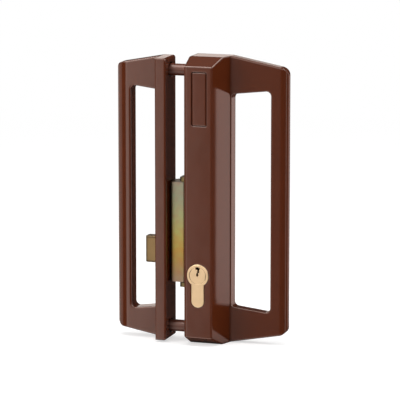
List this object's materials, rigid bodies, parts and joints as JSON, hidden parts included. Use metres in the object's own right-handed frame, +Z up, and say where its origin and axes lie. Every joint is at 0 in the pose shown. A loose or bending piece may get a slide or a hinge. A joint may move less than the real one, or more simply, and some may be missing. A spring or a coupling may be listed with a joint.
{
  "type": "door pull lock",
  "caption": "Pair of D-shaped pull handles joined back to back across a door stile by round posts, with a profile cylinder that throws a flat bolt through the gap.",
  "frame": {"origin": "mid-plane of the door gap, at the posts' depth, level with the outer handle's lower end", "axes": "+X through the door towards the keyed outer handle, +Y along the door's face towards the flush back faces of the handles, +Z up along the handles"},
  "size_m": [0.1353, 0.0306, 0.2186],
  "materials": {
    "paint": "gloss",
    "post_paint": "gloss",
    "yellow_zinc": "satin",
    "bolt_zinc": "satin",
    "bright_steel": "satin",
    "dark_steel": "satin",
    "satin_brass": "satin"
  },
  "bodies": {
    "fixed": {"outer_handle": "paint", "inner_handle": "paint", "upper_post": "post_paint", "lower_post": "post_paint", "post_grub_screws": "dark_steel", "case_bracket": "yellow_zinc", "lock_case": "yellow_zinc", "case_cover": "yellow_zinc", "case_cover_screws": "yellow_zinc", "case_fixing_screws": "yellow_zinc", "bolt_stud": "bright_steel", "detent_spring": "bright_steel", "spring_rivet": "bright_steel", "cylinder_body": "satin_brass", "driver_pins": "bright_steel", "pin_springs": "bright_steel", "chamber_caps": "satin_brass", "cylinder_screw": "yellow_zinc"},
    "plug": {"cylinder_plug": "satin_brass", "cylinder_cam": "bright_steel", "plug_clip": "bright_steel", "key_pins": "satin_brass"},
    "bolt": {"bolt": "bolt_zinc"}
  },
  "joints": [
    {"name": "plug_turn", "type": "hinge", "parent": "fixed", "child": "plug", "pos_m": [0.019, -0.0177, 0.0545], "axis": [0, 1, 0], "range_deg": [0, 360]},
    {"name": "bolt_slide", "type": "slide", "parent": "fixed", "child": "bolt", "axis": [1, 0, 0], "range_m": [0, 0.02]}
  ],
  "couplings": [
    {"joint": "bolt_slide", "follows": "plug_turn", "m_per_rad": 0.003183}
  ]
}
